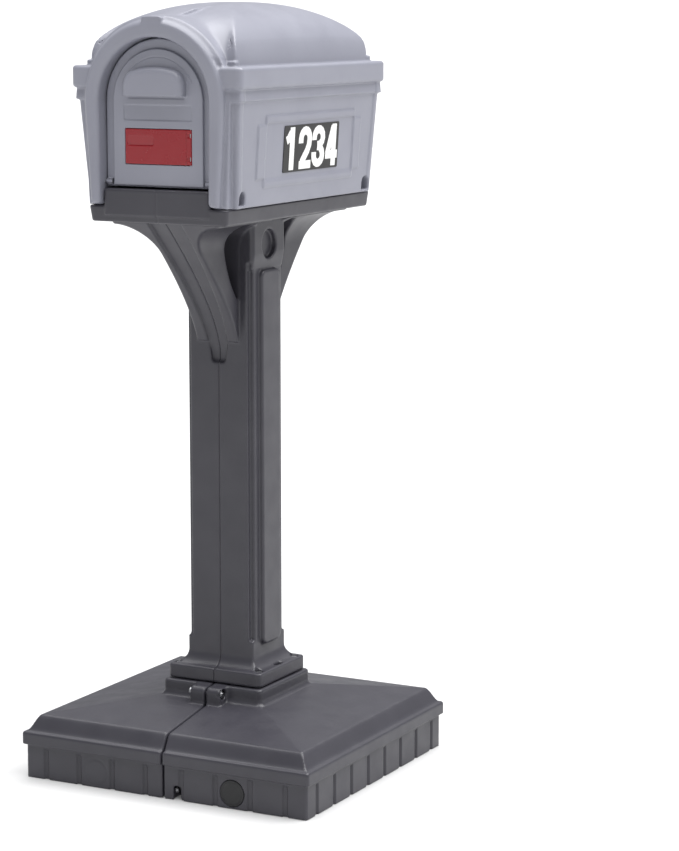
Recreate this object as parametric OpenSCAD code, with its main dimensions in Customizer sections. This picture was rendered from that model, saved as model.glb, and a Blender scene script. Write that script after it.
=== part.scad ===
// Post-mounted rural mailbox on a weighted two-part base.
// Frame: millimetres, +Z up, the door faces -Y, origin on the ground at the centre of the base.

/* [Base] */
// Width of the base across its lip
base_w = 592; // [420:1:720]
// Depth of the base across its lip
base_d = 547; // [420:1:720]
// How far the skirt stands in under the lip
skirt_inset = 6; // [3:0.5:12]
// Height of the underside of the lip
lip_z = 62; // [50:1:80]
// Height of the lip band
lip_h = 24; // [16:1:32]
// How far the shoulder stands in from the lip
shoulder_in = 28; // [18:1:36]
// Height of the shoulder above the lip
shoulder_h = 29; // [20:1:36]
// Rise of the hipped slope from the shoulder to the collar
slope_h = 24; // [12:1:40]
// Height of the collar band round the post
collar_h = 29; // [22:1:40]
// Width of the collar outside the post socket, on each side
collar_t = 30; // [28:1:44]
// Moulded wall of the two tanks
base_wall = 5; // [3:0.5:7]
// Gap between the two halves of the base
seam_gap = 3; // [1:0.5:6]
// Round of the base's upright corners
base_round = 6; // [6:1:24]

/* [Base fasteners] */
// Radius of the clamp bolts
clamp_r = 4; // [3:0.5:5]
// Distance of the lower clamp bolts from the ground
lower_bolt_z = 16; // [13:1:22]
// Length of each clamping lug along the bolt
lug_w = 32; // [26:1:44]
// Reach of the clamping lugs out from the collar
lug_d = 24; // [20:1:28]
// Radius of the filler plug's head
plug_r = 24; // [20:0.5:26]
// Distance of the filler plug from the seam
plug_x = 141; // [90:1:160]

/* [Post] */
// Width of the post column
post_w = 136; // [100:1:150]
// Depth of the post column
post_d = 120; // [100:1:150]
// Height of the post above its foot flange
post_h = 826.5; // [600:1:1000]
// Moulded wall of the post
post_wall = 5; // [3:0.5:7]
// Size of the sunk groove at each corner
groove = 9; // [6:1:14]
// Height of the foot flange
foot_h = 25.5; // [16:0.5:28]
// Reach of the foot flange out from the column
foot_reach = 29; // [24:1:32]
// Height of the cove above the foot flange
cove_h = 26; // [20:1:60]
// Gap between the base collar and the foot flange
foot_gap = 1.5; // [1:0.5:6]
// Half width of the raised panel on the side of the post
panel_half = 33; // [24:1:38]
// How far the side panel stands proud
panel_proud = 8; // [3:0.5:10]

/* [Bracket arms] */
// Half width of an arm
arm_half = 43; // [36:1:50]
// Reach of the arms from the post axis under the platform
arm_reach = 240; // [200:1:250]
// Height of an arm from the platform down to its foot
arm_drop = 226; // [190:1:260]
// Half width of the channel along the arm's outer edge
channel_half = 22; // [14:1:26]
// How deep the channel is sunk
channel_deep = 12; // [6:1:16]
// Half width of the flared top plate
flare_half = 106; // [80:1:115]
// Height of the flare under the platform
flare_h = 58; // [44:1:70]
// Thickness of the top plate
plate_t = 12; // [10:1:16]
// Height of the window in an arm
window_h = 142; // [110:1:150]
// Outer edge of the window from the post's face
window_w = 54; // [44:1:60]

/* [Platform] */
// Width of the platform
platform_w = 277; // [260:1:290]
// Depth of the platform
platform_d = 537; // [500:1:560]
// Height of the platform rim
platform_h = 28.5; // [22:0.5:36]
// Half width of the raised mail floor
sill_half = 106; // [98:1:107]
// Rise of the mail floor above the rim
sill_h = 30; // [24:1:33]
// Moulded wall of the platform
platform_wall = 5; // [3:0.5:7]

/* [Housing] */
// Width of the housing walls at the top
box_w = 316; // [306:1:330]
// Depth of the housing walls at the top
box_d = 520; // [500:1:540]
// Draft of each wall from top to bottom
box_draft = 12; // [8:1:14]
// Height of the walls up to the lip
box_h = 177; // [160:1:200]
// Moulded wall of the housing
box_wall = 5; // [3:0.5:6]
// Reach of the upper eaves band out from the wall
eaves_out = 11.5; // [5:0.5:12]
// Height of the lower eaves band
eaves_low_h = 21; // [16:1:26]
// Height of the upper eaves band
eaves_high_h = 38; // [28:1:44]
// Rise of the roof above the eaves
roof_rise = 107; // [80:1:125]
// Radius of the doorway arch, inside its frame
arch_r = 109.5; // [108:0.5:112]
// Radial width of the arch frame
arch_t = 28.5; // [24:0.5:32]
// Distance from the middle to the face of the arch frame
arch_y = 281; // [276:1:290]
// Height of the arch's centre above the platform
arch_rise = 180; // [172:1:190]

/* [Door] */
// Running gap round the door
door_gap = 3; // [2:0.5:4]
// Thickness of the door at its border
door_t = 12; // [11:0.5:14]
// How far the door's centre panel stands proud
door_proud = 6; // [4:0.5:8]
// Width of the door's border
door_border = 17; // [12:1:22]
// Radius of the door's hinge pins
pin_r = 4; // [3:0.5:5]
// Running clearance of pins in the parts that turn on them
pin_clear = 0.05; // [0.02:0.01:0.1]
// Half width of the handle hood
handle_half = 64; // [50:1:70]
// Height of the handle hood
handle_h = 48; // [40:1:52]
// How far the handle hood stands out of the centre panel
handle_out = 17; // [14:0.5:18]

/* [Flag] */
// Width of the flag plate
flag_w = 130; // [100:1:134]
// Height of the flag plate
flag_h = 60; // [46:1:64]
// Thickness of the flag plate
flag_t = 3.6; // [3:0.1:4.2]
// Radius of the flag's hinge pin
flag_pin_r = 1.5; // [1:0.1:1.7]
// Width of the number label
label_w = 204; // [150:1:240]
// Height of the number label
label_h = 82; // [60:1:86]

/* [Hidden] */
$fn = 64;

shell_grey = "#B4B6BF";
charcoal = "#4B4B52";
eps = 0.01;
face_gap = 0.3;
bolt_clear = 0.2;
far = 1000;

// Base levels
lip_top = lip_z + lip_h;
shoulder_z = lip_top + shoulder_h;
collar_z = shoulder_z + slope_h;
collar_top = collar_z + collar_h;
socket_floor = 40;
socket_gap = 0.5;
spigot_x = post_w / 2 + 4;
spigot_y = post_d / 2 + 4;
socket_x = spigot_x + socket_gap;
socket_y = spigot_y + socket_gap;
collar_x = socket_x + collar_t;
collar_y = socket_y + collar_t;
lug_y = collar_y + lug_d / 2;
lug_z = collar_top - lug_d / 2 - 1;
clamp_y = lug_y;
clamp_head_r = clamp_r * 1.7;
clamp_head_h = clamp_r * 1.3;
clamp_sink = clamp_head_h + 2.8;
clamp_sink_r = clamp_head_r + 3;
clamp_x = lug_w - clamp_sink;
skirt_y = base_d / 2 - skirt_inset;
tab_w = 19;
pocket_w = 17;
pocket_h = lower_bolt_z + clamp_head_r + 6;
pocket_d = 2 * clamp_head_r + 14;
lower_bolt_y = skirt_y - clamp_head_r - 6;
plug_z = plug_r + 4;
plug_stem_r = plug_r - 4;
plug_head_t = 5;
plug_stem_l = 20;
plug_seat_t = 2;
plug_travel = plug_head_t + plug_stem_l + 10;

// Post levels
foot_z = collar_top + foot_gap;
flange_top = foot_z + foot_h;
cove_top = flange_top + cove_h;
platform_z = flange_top + post_h;
foot_x = post_w / 2 + foot_reach;
foot_y = post_d / 2 + foot_reach - 3;
groove_z0 = cove_top + 26;
groove_z1 = platform_z - 82;
panel_z0 = cove_top + 16;
panel_z1 = platform_z - 98;
tie_z = platform_z - 52;
tie_recess_r = 25;
tie_recess_d = 14;
tie_x = post_w / 2 - tie_recess_d;
foot_screw_x = (socket_x + collar_x) / 2 - 4;
foot_screw_y = foot_y - 20;

// Platform levels
floor_z = platform_z + platform_h + sill_h;
box_z = platform_z + platform_h;
deck_screw_x = 56;
deck_screw_y = 188;
screw_r = 3;
screw_head_r = 6;
screw_head_h = 4;

// Housing levels
wall_foot = box_z + 5;
eaves_z = box_z + box_h + 4;
roof_z = eaves_z + eaves_low_h + eaves_high_h;
arch_z = box_z + arch_rise;
ring_y = box_d / 2 - 17;
ring_t = 6;
lip_half = box_w / 2 + eaves_out;
notch_y = box_d / 2 - 30;
notch_r = 12;
notch_x = box_w / 2 - box_draft - 16;

// Door places
door_r = arch_r - door_gap;
door_back = -ring_y - face_gap;
door_face = door_back - door_t;
panel_face = door_face - door_proud;
door_z = floor_z + 3;
hinge_y = door_face - 1;
hinge_z = door_z + 9;
hinge_sweep = norm([door_back - hinge_y, hinge_z - door_z]) + 2;
flag_z = hinge_z + 61;
flag_x = flag_w / 2 - 1;
flag_y = panel_face + flag_t / 2 + 0.8;
barrel_r = flag_pin_r + 1.3;
handle_z = arch_z + 9;
strip_z = arch_z - 19;
strip_h = 27;
strip_half = 68;
magnet_r = 7;
magnet_z = arch_z + arch_r - 11;
label_z = box_z + 94;
label_y = 10;
label_t = 0.8;
wall_lean = atan(box_draft / box_h);

// A 2D outline of x and z drawn out along Y.
module along_y(y0, y1) {
    translate([0, y1, 0]) rotate([90, 0, 0]) linear_extrude(y1 - y0) children();
}

// A 2D outline of y and z drawn out along X.
module along_x(x0, x1) {
    translate([x0, 0, 0]) rotate([90, 0, 90]) linear_extrude(x1 - x0) children();
}

// A block given by its lowest and highest corners.
module block(low, high) {
    translate(low) cube(high - low);
}

// A rod from one point along an axis: "x", "y" or "z".
module rod(at, r, l, axis) {
    turn = axis == "x" ? [0, 90, 0] : axis == "y" ? [-90, 0, 0] : [0, 0, 0];
    translate(at) rotate(turn) cylinder(r = r, h = l);
}

// A hexagon nut or bolt head centred on its axis, laid along X.
module hexagon(at, r, t) {
    translate(at) rotate([0, 90, 0]) cylinder(r = r, h = t, $fn = 6);
}

// Rectangle with round corners, centred.
module round_rect(w, d, r) {
    square([w - 2 * r, d], center = true);
    square([w, d - 2 * r], center = true);
    for (sx = [-1, 1], sy = [-1, 1]) {
        translate([sx * (w / 2 - r), sy * (d / 2 - r)]) circle(r);
    }
}

// An upright prism with round corners between two heights.
module round_block(w, d, r, z0, z1) {
    translate([0, 0, z0]) linear_extrude(z1 - z0) round_rect(w, d, r);
}

module mirror_both(axis) {
    children();
    mirror(axis) children();
}

// Point on a quadratic curve through three control points.
function curve(a, b, c, t) = (1 - t) * (1 - t) * a + 2 * t * (1 - t) * b + t * t * c;
function curve_points(a, b, c, n) = [for (i = [0:n]) curve(a, b, c, i / n)];
function mirrored(points) = [for (i = [len(points) - 1:-1:0]) [-points[i][0], points[i][1]]];

// Outside outline of the base, half its width at the lip and at the collar.
function base_side(half, collar) = concat(
    [
        [half - skirt_inset, 0],
        [half - skirt_inset, lip_z],
        [half, lip_z],
        [half, lip_top]
    ],
    curve_points(
        [half - 5, lip_top + 2],
        [half - shoulder_in + 4, lip_top + 4],
        [half - shoulder_in, shoulder_z],
        5
    ),
    [[collar, collar_z], [collar, collar_top]]
);
// Inside outline of a tank, one wall in from the outside.
function tank_side(half, collar) = [
    [half - skirt_inset - base_wall, base_wall],
    [half - skirt_inset - base_wall, lip_top - base_wall],
    [half - shoulder_in - base_wall, shoulder_z - base_wall],
    [collar, collar_z - base_wall]
];

module base_outside() {
    intersection() {
        along_y(-base_d / 2, base_d / 2) {
            side = base_side(base_w / 2, collar_x);
            polygon(concat(side, mirrored(side)));
        }
        along_x(-base_w / 2, base_w / 2) {
            side = base_side(base_d / 2, collar_y);
            polygon(concat(side, mirrored(side)));
        }
        round_block(base_w, base_d, base_round, 0, collar_top);
    }
}

module tank_inside() {
    intersection() {
        along_y(-base_d / 2, base_d / 2) {
            side = tank_side(base_w / 2, collar_x);
            polygon(concat(side, mirrored(side)));
        }
        along_x(-base_w / 2, base_w / 2) {
            side = tank_side(base_d / 2, collar_y);
            polygon(concat(side, mirrored(side)));
        }
        round_block(base_w - 20, base_d - 20, base_round, 0, collar_top);
    }
}

// Clamping lug at the collar, its round nose lying along the bolt.
module clamp_lug(sy) {
    block([seam_gap / 2, min(sy * collar_y, sy * lug_y), collar_z - 14],
          [lug_w, max(sy * collar_y, sy * lug_y), collar_top - 1]);
    block([seam_gap / 2, min(sy * collar_y, sy * (lug_y + lug_d / 2)), collar_z - 14],
          [lug_w, max(sy * collar_y, sy * (lug_y + lug_d / 2)), lug_z]);
    rod([seam_gap / 2, sy * lug_y, lug_z], lug_d / 2, lug_w - seam_gap / 2, "x");
}

// Right half of the base; the left half is the same moulding turned end for end.
module base_half() {
    difference() {
        union() {
            intersection() {
                base_outside();
                block([seam_gap / 2, -base_d, 0], [base_w, base_d, far]);
            }
            for (sy = [-1, 1]) clamp_lug(sy);
        }
        difference() {
            intersection() {
                tank_inside();
                block([seam_gap / 2 + base_wall, -base_d, 0], [base_w, base_d, far]);
            }
            block([-eps, -socket_y - base_wall, socket_floor - base_wall],
                  [socket_x + base_wall, socket_y + base_wall, far]);
            for (sy = [-1, 1]) {
                lower_pocket(sy, base_wall);
                block([0, min(sy * collar_y, sy * (lug_y + lug_d)), collar_z - 24],
                      [lug_w + base_wall, max(sy * collar_y, sy * (lug_y + lug_d)), far]);
            }
            rod([plug_x, -skirt_y, plug_z], plug_r + base_wall, plug_stem_l + 2, "y");
        }
        block([-eps, -socket_y, socket_floor], [socket_x, socket_y, far]);
        for (sy = [-1, 1]) {
            rod([-eps, sy * clamp_y, lug_z], clamp_r + bolt_clear, base_w / 4, "x");
            lower_pocket(sy, 0);
            rod([-eps, sy * lower_bolt_y, lower_bolt_z], clamp_r + bolt_clear, tab_w + 1, "x");
            rod([foot_screw_x, sy * foot_screw_y, collar_top - 24], screw_r, 25, "z");
        }
        rod([clamp_x, -clamp_y, lug_z], clamp_sink_r, clamp_sink + 1, "x");
        rod([plug_x, -skirt_y - 1, plug_z], plug_r + face_gap, plug_head_t + plug_seat_t + 1, "y");
        rod([plug_x, -skirt_y - 1, plug_z], plug_stem_r + pin_clear, plug_stem_l + 12, "y");
    }
}

// Recess for a lower bolt, open to the ground; the front one is open through the skirt too.
module lower_pocket(sy, grow) {
    inner = skirt_y - pocket_d - grow;
    outer = sy < 0 ? base_d : skirt_y - base_wall + grow;
    block([tab_w - grow, min(sy * inner, sy * outer), -eps],
          [tab_w + pocket_w + grow, max(sy * inner, sy * outer), pocket_h + grow]);
}

module base_right() {
    color(charcoal) base_half();
}

module base_left() {
    color(charcoal) rotate([0, 0, 180]) base_half();
}

// Everything that clamps the front of the seam, repeated turned round at the back.
module front_and_back() {
    for (a = [0, 180]) rotate([0, 0, a]) children();
}

module upper_clamp_bolts() {
    color("silver") front_and_back() {
        rod([-lug_w, -clamp_y, lug_z], clamp_r, lug_w + clamp_x + clamp_head_h + 2, "x");
        hexagon([-lug_w - clamp_head_h, -clamp_y, lug_z], clamp_head_r, clamp_head_h);
    }
}

module upper_clamp_nuts() {
    color("silver") front_and_back() difference() {
        hexagon([clamp_x, -clamp_y, lug_z], clamp_head_r, clamp_head_h);
        rod([clamp_x - 1, -clamp_y, lug_z], clamp_r, clamp_head_h + 2, "x");
    }
}

module lower_clamp_bolts() {
    color("silver") front_and_back() {
        rod([-tab_w, -lower_bolt_y, lower_bolt_z], clamp_r, 2 * tab_w + clamp_head_h + 2, "x");
        hexagon([-tab_w - clamp_head_h, -lower_bolt_y, lower_bolt_z], clamp_head_r, clamp_head_h);
    }
}

module lower_clamp_nuts() {
    color("silver") front_and_back() difference() {
        hexagon([tab_w, -lower_bolt_y, lower_bolt_z], clamp_head_r, clamp_head_h);
        rod([tab_w - 1, -lower_bolt_y, lower_bolt_z], clamp_r, clamp_head_h + 2, "x");
    }
}

module plug_right() {
    difference() {
        union() {
            rod([plug_x, -skirt_y, plug_z], plug_r, plug_head_t, "y");
            rod([plug_x, -skirt_y, plug_z], plug_stem_r, plug_stem_l, "y");
        }
        rod([plug_x, -skirt_y - eps, plug_z], plug_r - 4, 2, "y");
        rod([plug_x, -skirt_y + plug_head_t, plug_z], plug_stem_r - 4, plug_stem_l, "y");
    }
}

module seal_right() {
    difference() {
        rod([plug_x, -skirt_y + plug_head_t, plug_z], plug_r, plug_seat_t, "y");
        rod([plug_x, -skirt_y, plug_z], plug_stem_r + pin_clear, plug_stem_l, "y");
    }
}

module fill_plug_right() {
    color("#1C1C1E") plug_right();
}

module fill_plug_left() {
    color("#1C1C1E") rotate([0, 0, 180]) plug_right();
}

module fill_seal_right() {
    color("#101010") seal_right();
}

module fill_seal_left() {
    color("#101010") rotate([0, 0, 180]) seal_right();
}

// Side view of an arm, from the post's axis out to its curved outer edge.
module arm_outline() {
    foot = platform_z - arm_drop;
    polygon(concat(
        [[0, foot]],
        curve_points(
            [post_d / 2 + 4, foot],
            [post_d / 2 + 30, foot + 77],
            [arm_reach, platform_z - plate_t / 2],
            16
        ),
        [[arm_reach, platform_z], [0, platform_z]]
    ));
}

// Side view of the channel sunk along the arm's outer edge, open to the outside.
module channel_outline() {
    foot = platform_z - arm_drop;
    top = platform_z - plate_t / 2;
    polygon(concat(
        curve_points(
            [post_d / 2 + 1, foot - 1],
            [post_d / 2 + 24 - channel_deep, foot + 77 + channel_deep],
            [arm_reach - 3 * channel_deep, top],
            16
        ),
        [[far, top], [far, foot - 1]]
    ));
}

// Window between an arm and the column: curved outer edge, round top corners.
module window_outline() {
    face = post_d / 2;
    top = platform_z - plate_t;
    round = 26;
    polygon(concat(
        curve_points(
            [face, top - window_h],
            [face + window_w - 14, top - window_h / 2 - 14],
            [face + window_w, top - round],
            10
        ),
        curve_points(
            [face + window_w, top - round],
            [face + window_w, top],
            [face + window_w - round / 2, top],
            5
        ),
        curve_points([face + round, top], [face, top], [face, top - round], 5)
    ));
}

// Flare under the platform, seen from the front.
module flare_outline() {
    side = concat(
        curve_points(
            [arm_half, platform_z - flare_h - plate_t],
            [arm_half + 4, platform_z - plate_t - 2],
            [flare_half, platform_z - plate_t / 2],
            8
        ),
        [[flare_half, platform_z]]
    );
    polygon(concat(side, mirrored(side)));
}

// Foot of the post: the cove from the flange up to the column.
module foot_cove(column, flange) {
    side = concat(
        [[flange, flange_top - eps]],
        curve_points([flange - 3, flange_top], [column + 6, flange_top + 3], [column, cove_top], 8)
    );
    polygon(concat(side, mirrored(side)));
}

module post_outside() {
    difference() {
        union() {
            block([-post_w / 2, -post_d / 2, foot_z], [post_w / 2, post_d / 2, platform_z]);
            round_block(2 * foot_x, 2 * foot_y, 10, foot_z, flange_top);
            intersection() {
                along_y(-foot_y, foot_y) foot_cove(post_w / 2, foot_x);
                along_x(-foot_x, foot_x) foot_cove(post_d / 2, foot_y);
            }
            block([-spigot_x, -spigot_y, socket_floor], [spigot_x, spigot_y, foot_z + 1]);
            mirror_both([0, 1, 0]) {
                along_x(-arm_half, arm_half) arm_outline();
                intersection() {
                    along_x(-flare_half, flare_half) arm_outline();
                    along_y(post_d / 2, arm_reach) flare_outline();
                }
            }
            for (sx = [-1, 1]) {
                block([sx * post_w / 2 - panel_proud, -panel_half, panel_z0],
                      [sx * post_w / 2 + panel_proud, panel_half, panel_z1]);
            }
        }
        mirror_both([0, 1, 0]) {
            along_x(-far, far) window_outline();
            along_x(-channel_half, channel_half) channel_outline();
        }
        for (sx = [-1, 1], sy = [-1, 1]) {
            translate([sx * post_w / 2, sy * post_d / 2, (groove_z0 + groove_z1) / 2])
                cube([2 * groove, 2 * groove, groove_z1 - groove_z0], center = true);
        }
        for (sx = [-1, 1]) {
            rod([sx * (post_w / 2 - tie_recess_d / 2 + 10) - (tie_recess_d / 2 + 10), 0, tie_z],
                tie_recess_r, tie_recess_d + 20, "x");
        }
    }
}

// Hollow of the post: the column, the foot and the inside of each arm.
module post_inside() {
    difference() {
        union() {
            block([-post_w / 2 + groove + post_wall, -post_d / 2 + post_wall, -eps],
                  [post_w / 2 - groove - post_wall, post_d / 2 - post_wall,
                   platform_z - plate_t]);
            block([-post_w / 2 + post_wall, -post_d / 2 + groove + post_wall, -eps],
                  [post_w / 2 - post_wall, post_d / 2 - groove - post_wall,
                   platform_z - plate_t]);
        }
        block([-far, -far, tie_z - tie_recess_r - post_wall],
              [-tie_x + post_wall, far, tie_z + tie_recess_r + post_wall]);
        block([tie_x - post_wall, -far, tie_z - tie_recess_r - post_wall],
              [far, far, tie_z + tie_recess_r + post_wall]);
    }
}

// One half of the post, joined on the middle plane.
module post_half(sx) {
    difference() {
        intersection() {
            post_outside();
            block([sx > 0 ? 0 : -far, -far, 0], [sx > 0 ? far : 0, far, far + far]);
        }
        post_inside();
        rod([-far / 2, 0, tie_z], clamp_r + bolt_clear, far, "x");
        for (sy = [-1, 1]) {
            rod([sx * foot_screw_x, sy * foot_screw_y, foot_z - 1], screw_r + bolt_clear, far / 10,
                "z");
            rod([sx * foot_screw_x, sy * foot_screw_y, flange_top - screw_head_h],
                screw_head_r + 1, far / 10, "z");
            rod([sx * deck_screw_x, sy * deck_screw_y, platform_z - 14], screw_r, 20, "z");
        }
    }
}

module post_left() {
    color(charcoal) post_half(-1);
}

module post_right() {
    color(charcoal) post_half(1);
}

module post_tie_bolt() {
    color("silver") {
        rod([-tie_x - clamp_head_h - 2, 0, tie_z], clamp_r, 2 * tie_x + clamp_head_h + 2, "x");
        hexagon([tie_x, 0, tie_z], clamp_head_r, clamp_head_h);
    }
}

module post_tie_nut() {
    color("silver") difference() {
        hexagon([-tie_x - clamp_head_h, 0, tie_z], clamp_head_r, clamp_head_h);
        rod([-tie_x - clamp_head_h - 1, 0, tie_z], clamp_r, clamp_head_h + 2, "x");
    }
}

// Upright screw: head resting at a height, shank going down.
module screw_down(x, y, z, l, r, head_r) {
    rod([x, y, z - l], r, l, "z");
    rod([x, y, z], head_r, screw_head_h - 0.5, "z");
}

module post_foot_screws() {
    color("silver") for (sx = [-1, 1], sy = [-1, 1]) {
        screw_down(sx * foot_screw_x, sy * foot_screw_y, flange_top - screw_head_h,
                   foot_h + foot_gap + 14, screw_r - eps, screw_head_r);
    }
}

// Platform and raised mail floor, one hollow moulding with a bored post at each screw.
module platform() {
    wall = platform_wall;
    sill_y = arch_y - 9;
    color(charcoal) difference() {
        union() {
            round_block(platform_w, platform_d, 14, platform_z, box_z);
            round_block(2 * sill_half, 2 * sill_y, 4, box_z - 1, floor_z);
        }
        difference() {
            union() {
                round_block(platform_w - 2 * wall, platform_d - 2 * wall, 9, platform_z + wall,
                            box_z - wall);
                round_block(2 * (sill_half - wall), 2 * (sill_y - wall), 3, box_z - wall - 1,
                            floor_z - wall);
            }
            for (sx = [-1, 1], sy = [-1, 1]) {
                rod([sx * deck_screw_x, sy * deck_screw_y, platform_z], screw_head_r + wall,
                    far, "z");
                rod([sx * notch_x, sy * notch_y, platform_z], screw_r + wall, far, "z");
            }
        }
        for (sx = [-1, 1], sy = [-1, 1]) {
            rod([sx * deck_screw_x, sy * deck_screw_y, platform_z - 1], screw_r + bolt_clear,
                far, "z");
            rod([sx * deck_screw_x, sy * deck_screw_y, floor_z - screw_head_h], screw_head_r + 1,
                far, "z");
            rod([sx * notch_x, sy * notch_y, box_z - 16], screw_r - 0.5, 20, "z");
        }
    }
}

module platform_screws() {
    color("silver") for (sx = [-1, 1], sy = [-1, 1]) {
        screw_down(sx * deck_screw_x, sy * deck_screw_y, floor_z - screw_head_h,
                   floor_z - screw_head_h - platform_z + 12, screw_r - eps, screw_head_r);
    }
}

// Wall outline at the front or the side, narrowing to the bottom by the draft.
module wall_outline(half, inset) {
    top = eaves_z;
    polygon([
        [-half + box_draft + inset, box_z - (inset > 0 ? 1 : 0)],
        [half - box_draft - inset, box_z - (inset > 0 ? 1 : 0)],
        [half - inset, top],
        [half - inset, top + eaves_low_h],
        [-half + inset, top + eaves_low_h],
        [-half + inset, top]
    ]);
}

// Roof outline over a half width: a flattened elliptical rise.
function roof_curve(half, rise, n) = [
    for (i = [0:n]) let(a = 180 * i / n) [half * cos(a), roof_z + rise * sin(a)]
];

module roof_solid(inset) {
    rise = roof_rise - inset;
    steps = 28;
    intersection() {
        along_y(-box_d / 2 + inset, box_d / 2 - inset)
            polygon(concat([[-box_w / 2 + inset, roof_z - 2]], [[box_w / 2 - inset, roof_z - 2]],
                           roof_curve(box_w / 2 - inset, rise, steps)));
        along_x(-box_w / 2 + inset, box_w / 2 - inset)
            polygon(concat([[-box_d / 2 + inset, roof_z - 2]], [[box_d / 2 - inset, roof_z - 2]],
                           roof_curve(box_d / 2 - inset, rise, steps)));
    }
}

// Arched outline on straight legs, from a foot height up to the crown.
module arch_outline(r, foot) {
    translate([0, arch_z]) circle(r);
    translate([-r, foot]) square([2 * r, arch_z - foot]);
}

module housing_shell() {
    wall = box_wall;
    high_z = eaves_z + eaves_low_h;
    ring_back = ring_y - ring_t;
    color(shell_grey) difference() {
        union() {
            intersection() {
                along_y(-box_d / 2, box_d / 2) wall_outline(box_w / 2, 0);
                along_x(-box_w / 2, box_w / 2) wall_outline(box_d / 2, 0);
            }
            round_block(2 * lip_half, box_d + 2 * eaves_out, 12, high_z - 1, roof_z);
            roof_solid(0);
            intersection() {
                along_y(-arch_y, arch_y) arch_outline(arch_r + arch_t, wall_foot - 2);
                along_x(-far, far) polygon([
                    [-arch_y, box_z], [arch_y, box_z], [arch_y, far + far], [-arch_y, far + far]
                ]);
            }
        }
        difference() {
            union() {
                intersection() {
                    along_y(-ring_back, ring_back) wall_outline(box_w / 2, wall);
                    along_x(-box_w / 2, box_w / 2) wall_outline(box_d / 2, wall);
                }
                block([-box_w / 2 + wall, -ring_back, eaves_z + 1],
                      [box_w / 2 - wall, ring_back, roof_z]);
                intersection() {
                    roof_solid(wall);
                    block([-far, -ring_back, 0], [far, ring_back, far + far]);
                }
            }
            for (sx = [-1, 1], sy = [-1, 1]) notch_block(sx, sy, notch_r + wall, 0);
        }
        along_y(-far, far) arch_outline(arch_r - 12, box_z - 1);
        along_y(-far, -ring_y) arch_outline(arch_r, box_z - 1);
        along_y(ring_y, far) arch_outline(arch_r, box_z - 1);
        block([-sill_half - face_gap, -far, box_z - 1],
              [sill_half + face_gap, far, floor_z + face_gap]);
        block([-arch_r, -far, box_z - 1], [arch_r, 0, hinge_z + hinge_sweep]);
        for (sx = [-1, 1], sy = [-1, 1]) {
            notch_cut(sx, sy);
            rod([sx * notch_x, sy * notch_y, box_z - 1], screw_r, 20, "z");
        }
        rod([-arch_r - 12, hinge_y, hinge_z], pin_r, 2 * arch_r + 24, "x");
        rod([0, -ring_y - eps, magnet_z], magnet_r + face_gap, ring_t - 2, "y");
        for (a = [20, 160]) rear_screw_at(a) cylinder(r = 2, h = ring_t + 2);
        for (sx = [-1, 1]) {
            translate([sx * (arch_r - 6), ring_y - ring_t - 1, floor_z + 24])
                rotate([-90, 0, 0]) cylinder(r = 2, h = ring_t + 2);
        }
    }
}

// Place on the rear ring, at an angle round the arch.
module rear_screw_at(a) {
    translate([(arch_r - 6) * cos(a), ring_y - ring_t - 1, arch_z + (arch_r - 6) * sin(a)])
        rotate([-90, 0, 0]) children();
}

// Block that backs a screw notch in the side wall.
module notch_block(sx, sy, half, grow) {
    block([min(sx * (notch_x - notch_r), sx * far), sy * notch_y - half, box_z - 2],
          [max(sx * (notch_x - notch_r), sx * far), sy * notch_y + half,
           box_z + 2 * notch_r + box_wall]);
}

// Half-round notch at the foot of the side wall, with a ledge for the screw.
module notch_cut(sx, sy) {
    ledge = box_z + 5;
    x0 = sx > 0 ? notch_x - 7 : -far;
    x1 = sx > 0 ? far : -notch_x + 7;
    block([x0, sy * notch_y - notch_r, ledge], [x1, sy * notch_y + notch_r, ledge + notch_r]);
    rod([x0, sy * notch_y, ledge + notch_r], notch_r, x1 - x0, "x");
}

module housing_screws() {
    color("silver") for (sx = [-1, 1], sy = [-1, 1]) {
        screw_down(sx * notch_x, sy * notch_y, box_z + 5, 20, screw_r - 0.5 - eps, screw_head_r);
    }
}

module rear_panel() {
    rim = 14;
    color(shell_grey) difference() {
        union() {
            along_y(ring_y, ring_y + door_t) intersection() {
                arch_outline(door_r, door_z);
                translate([-far, door_z]) square([2 * far, far]);
            }
            along_y(ring_y + door_t - 1, ring_y + door_t + door_proud)
                arch_outline(door_r - door_border, door_z + door_border);
        }
        along_y(ring_y - 1, ring_y + door_t - 4) arch_outline(door_r - rim - 4, door_z + rim);
        for (a = [20, 160]) rear_screw_at(a) cylinder(r = 2.2, h = 40);
        for (sx = [-1, 1]) {
            translate([sx * (arch_r - 6), ring_y - 1, floor_z + 24])
                rotate([-90, 0, 0]) cylinder(r = 2.2, h = 40);
        }
    }
}

module rear_screw() {
    cylinder(r = 2 - eps, h = ring_t + door_t + 1);
    translate([0, 0, ring_t + door_t + 1]) cylinder(r = 3.6, h = 2.5);
}

module rear_panel_screws() {
    color("silver") {
        for (a = [20, 160]) rear_screw_at(a) rear_screw();
        for (sx = [-1, 1]) {
            translate([sx * (arch_r - 6), ring_y - ring_t - 1, floor_z + 24])
                rotate([-90, 0, 0]) rear_screw();
        }
    }
}

// Recess that holds the flag, with a gutter for its hinge barrel.
module flag_recess() {
    block([-flag_w / 2 - 1, panel_face - 1, flag_z - flag_h / 2 - 1],
          [flag_x + barrel_r + 0.6, flag_y + barrel_r + 0.4, flag_z + flag_h / 2 + 1]);
}

// Hood of the handle, open underneath for the fingers.
module handle_hood() {
    out = panel_face - handle_out;
    difference() {
        intersection() {
            block([-handle_half, out, handle_z], [handle_half, door_face - 1, handle_z + handle_h]);
            along_y(-far, 0) translate([0, handle_z + handle_h - 120]) circle(120);
        }
        block([-handle_half + 5, out + 4, handle_z - 1],
              [handle_half - 5, panel_face, handle_z + handle_h - 14]);
    }
}

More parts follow.
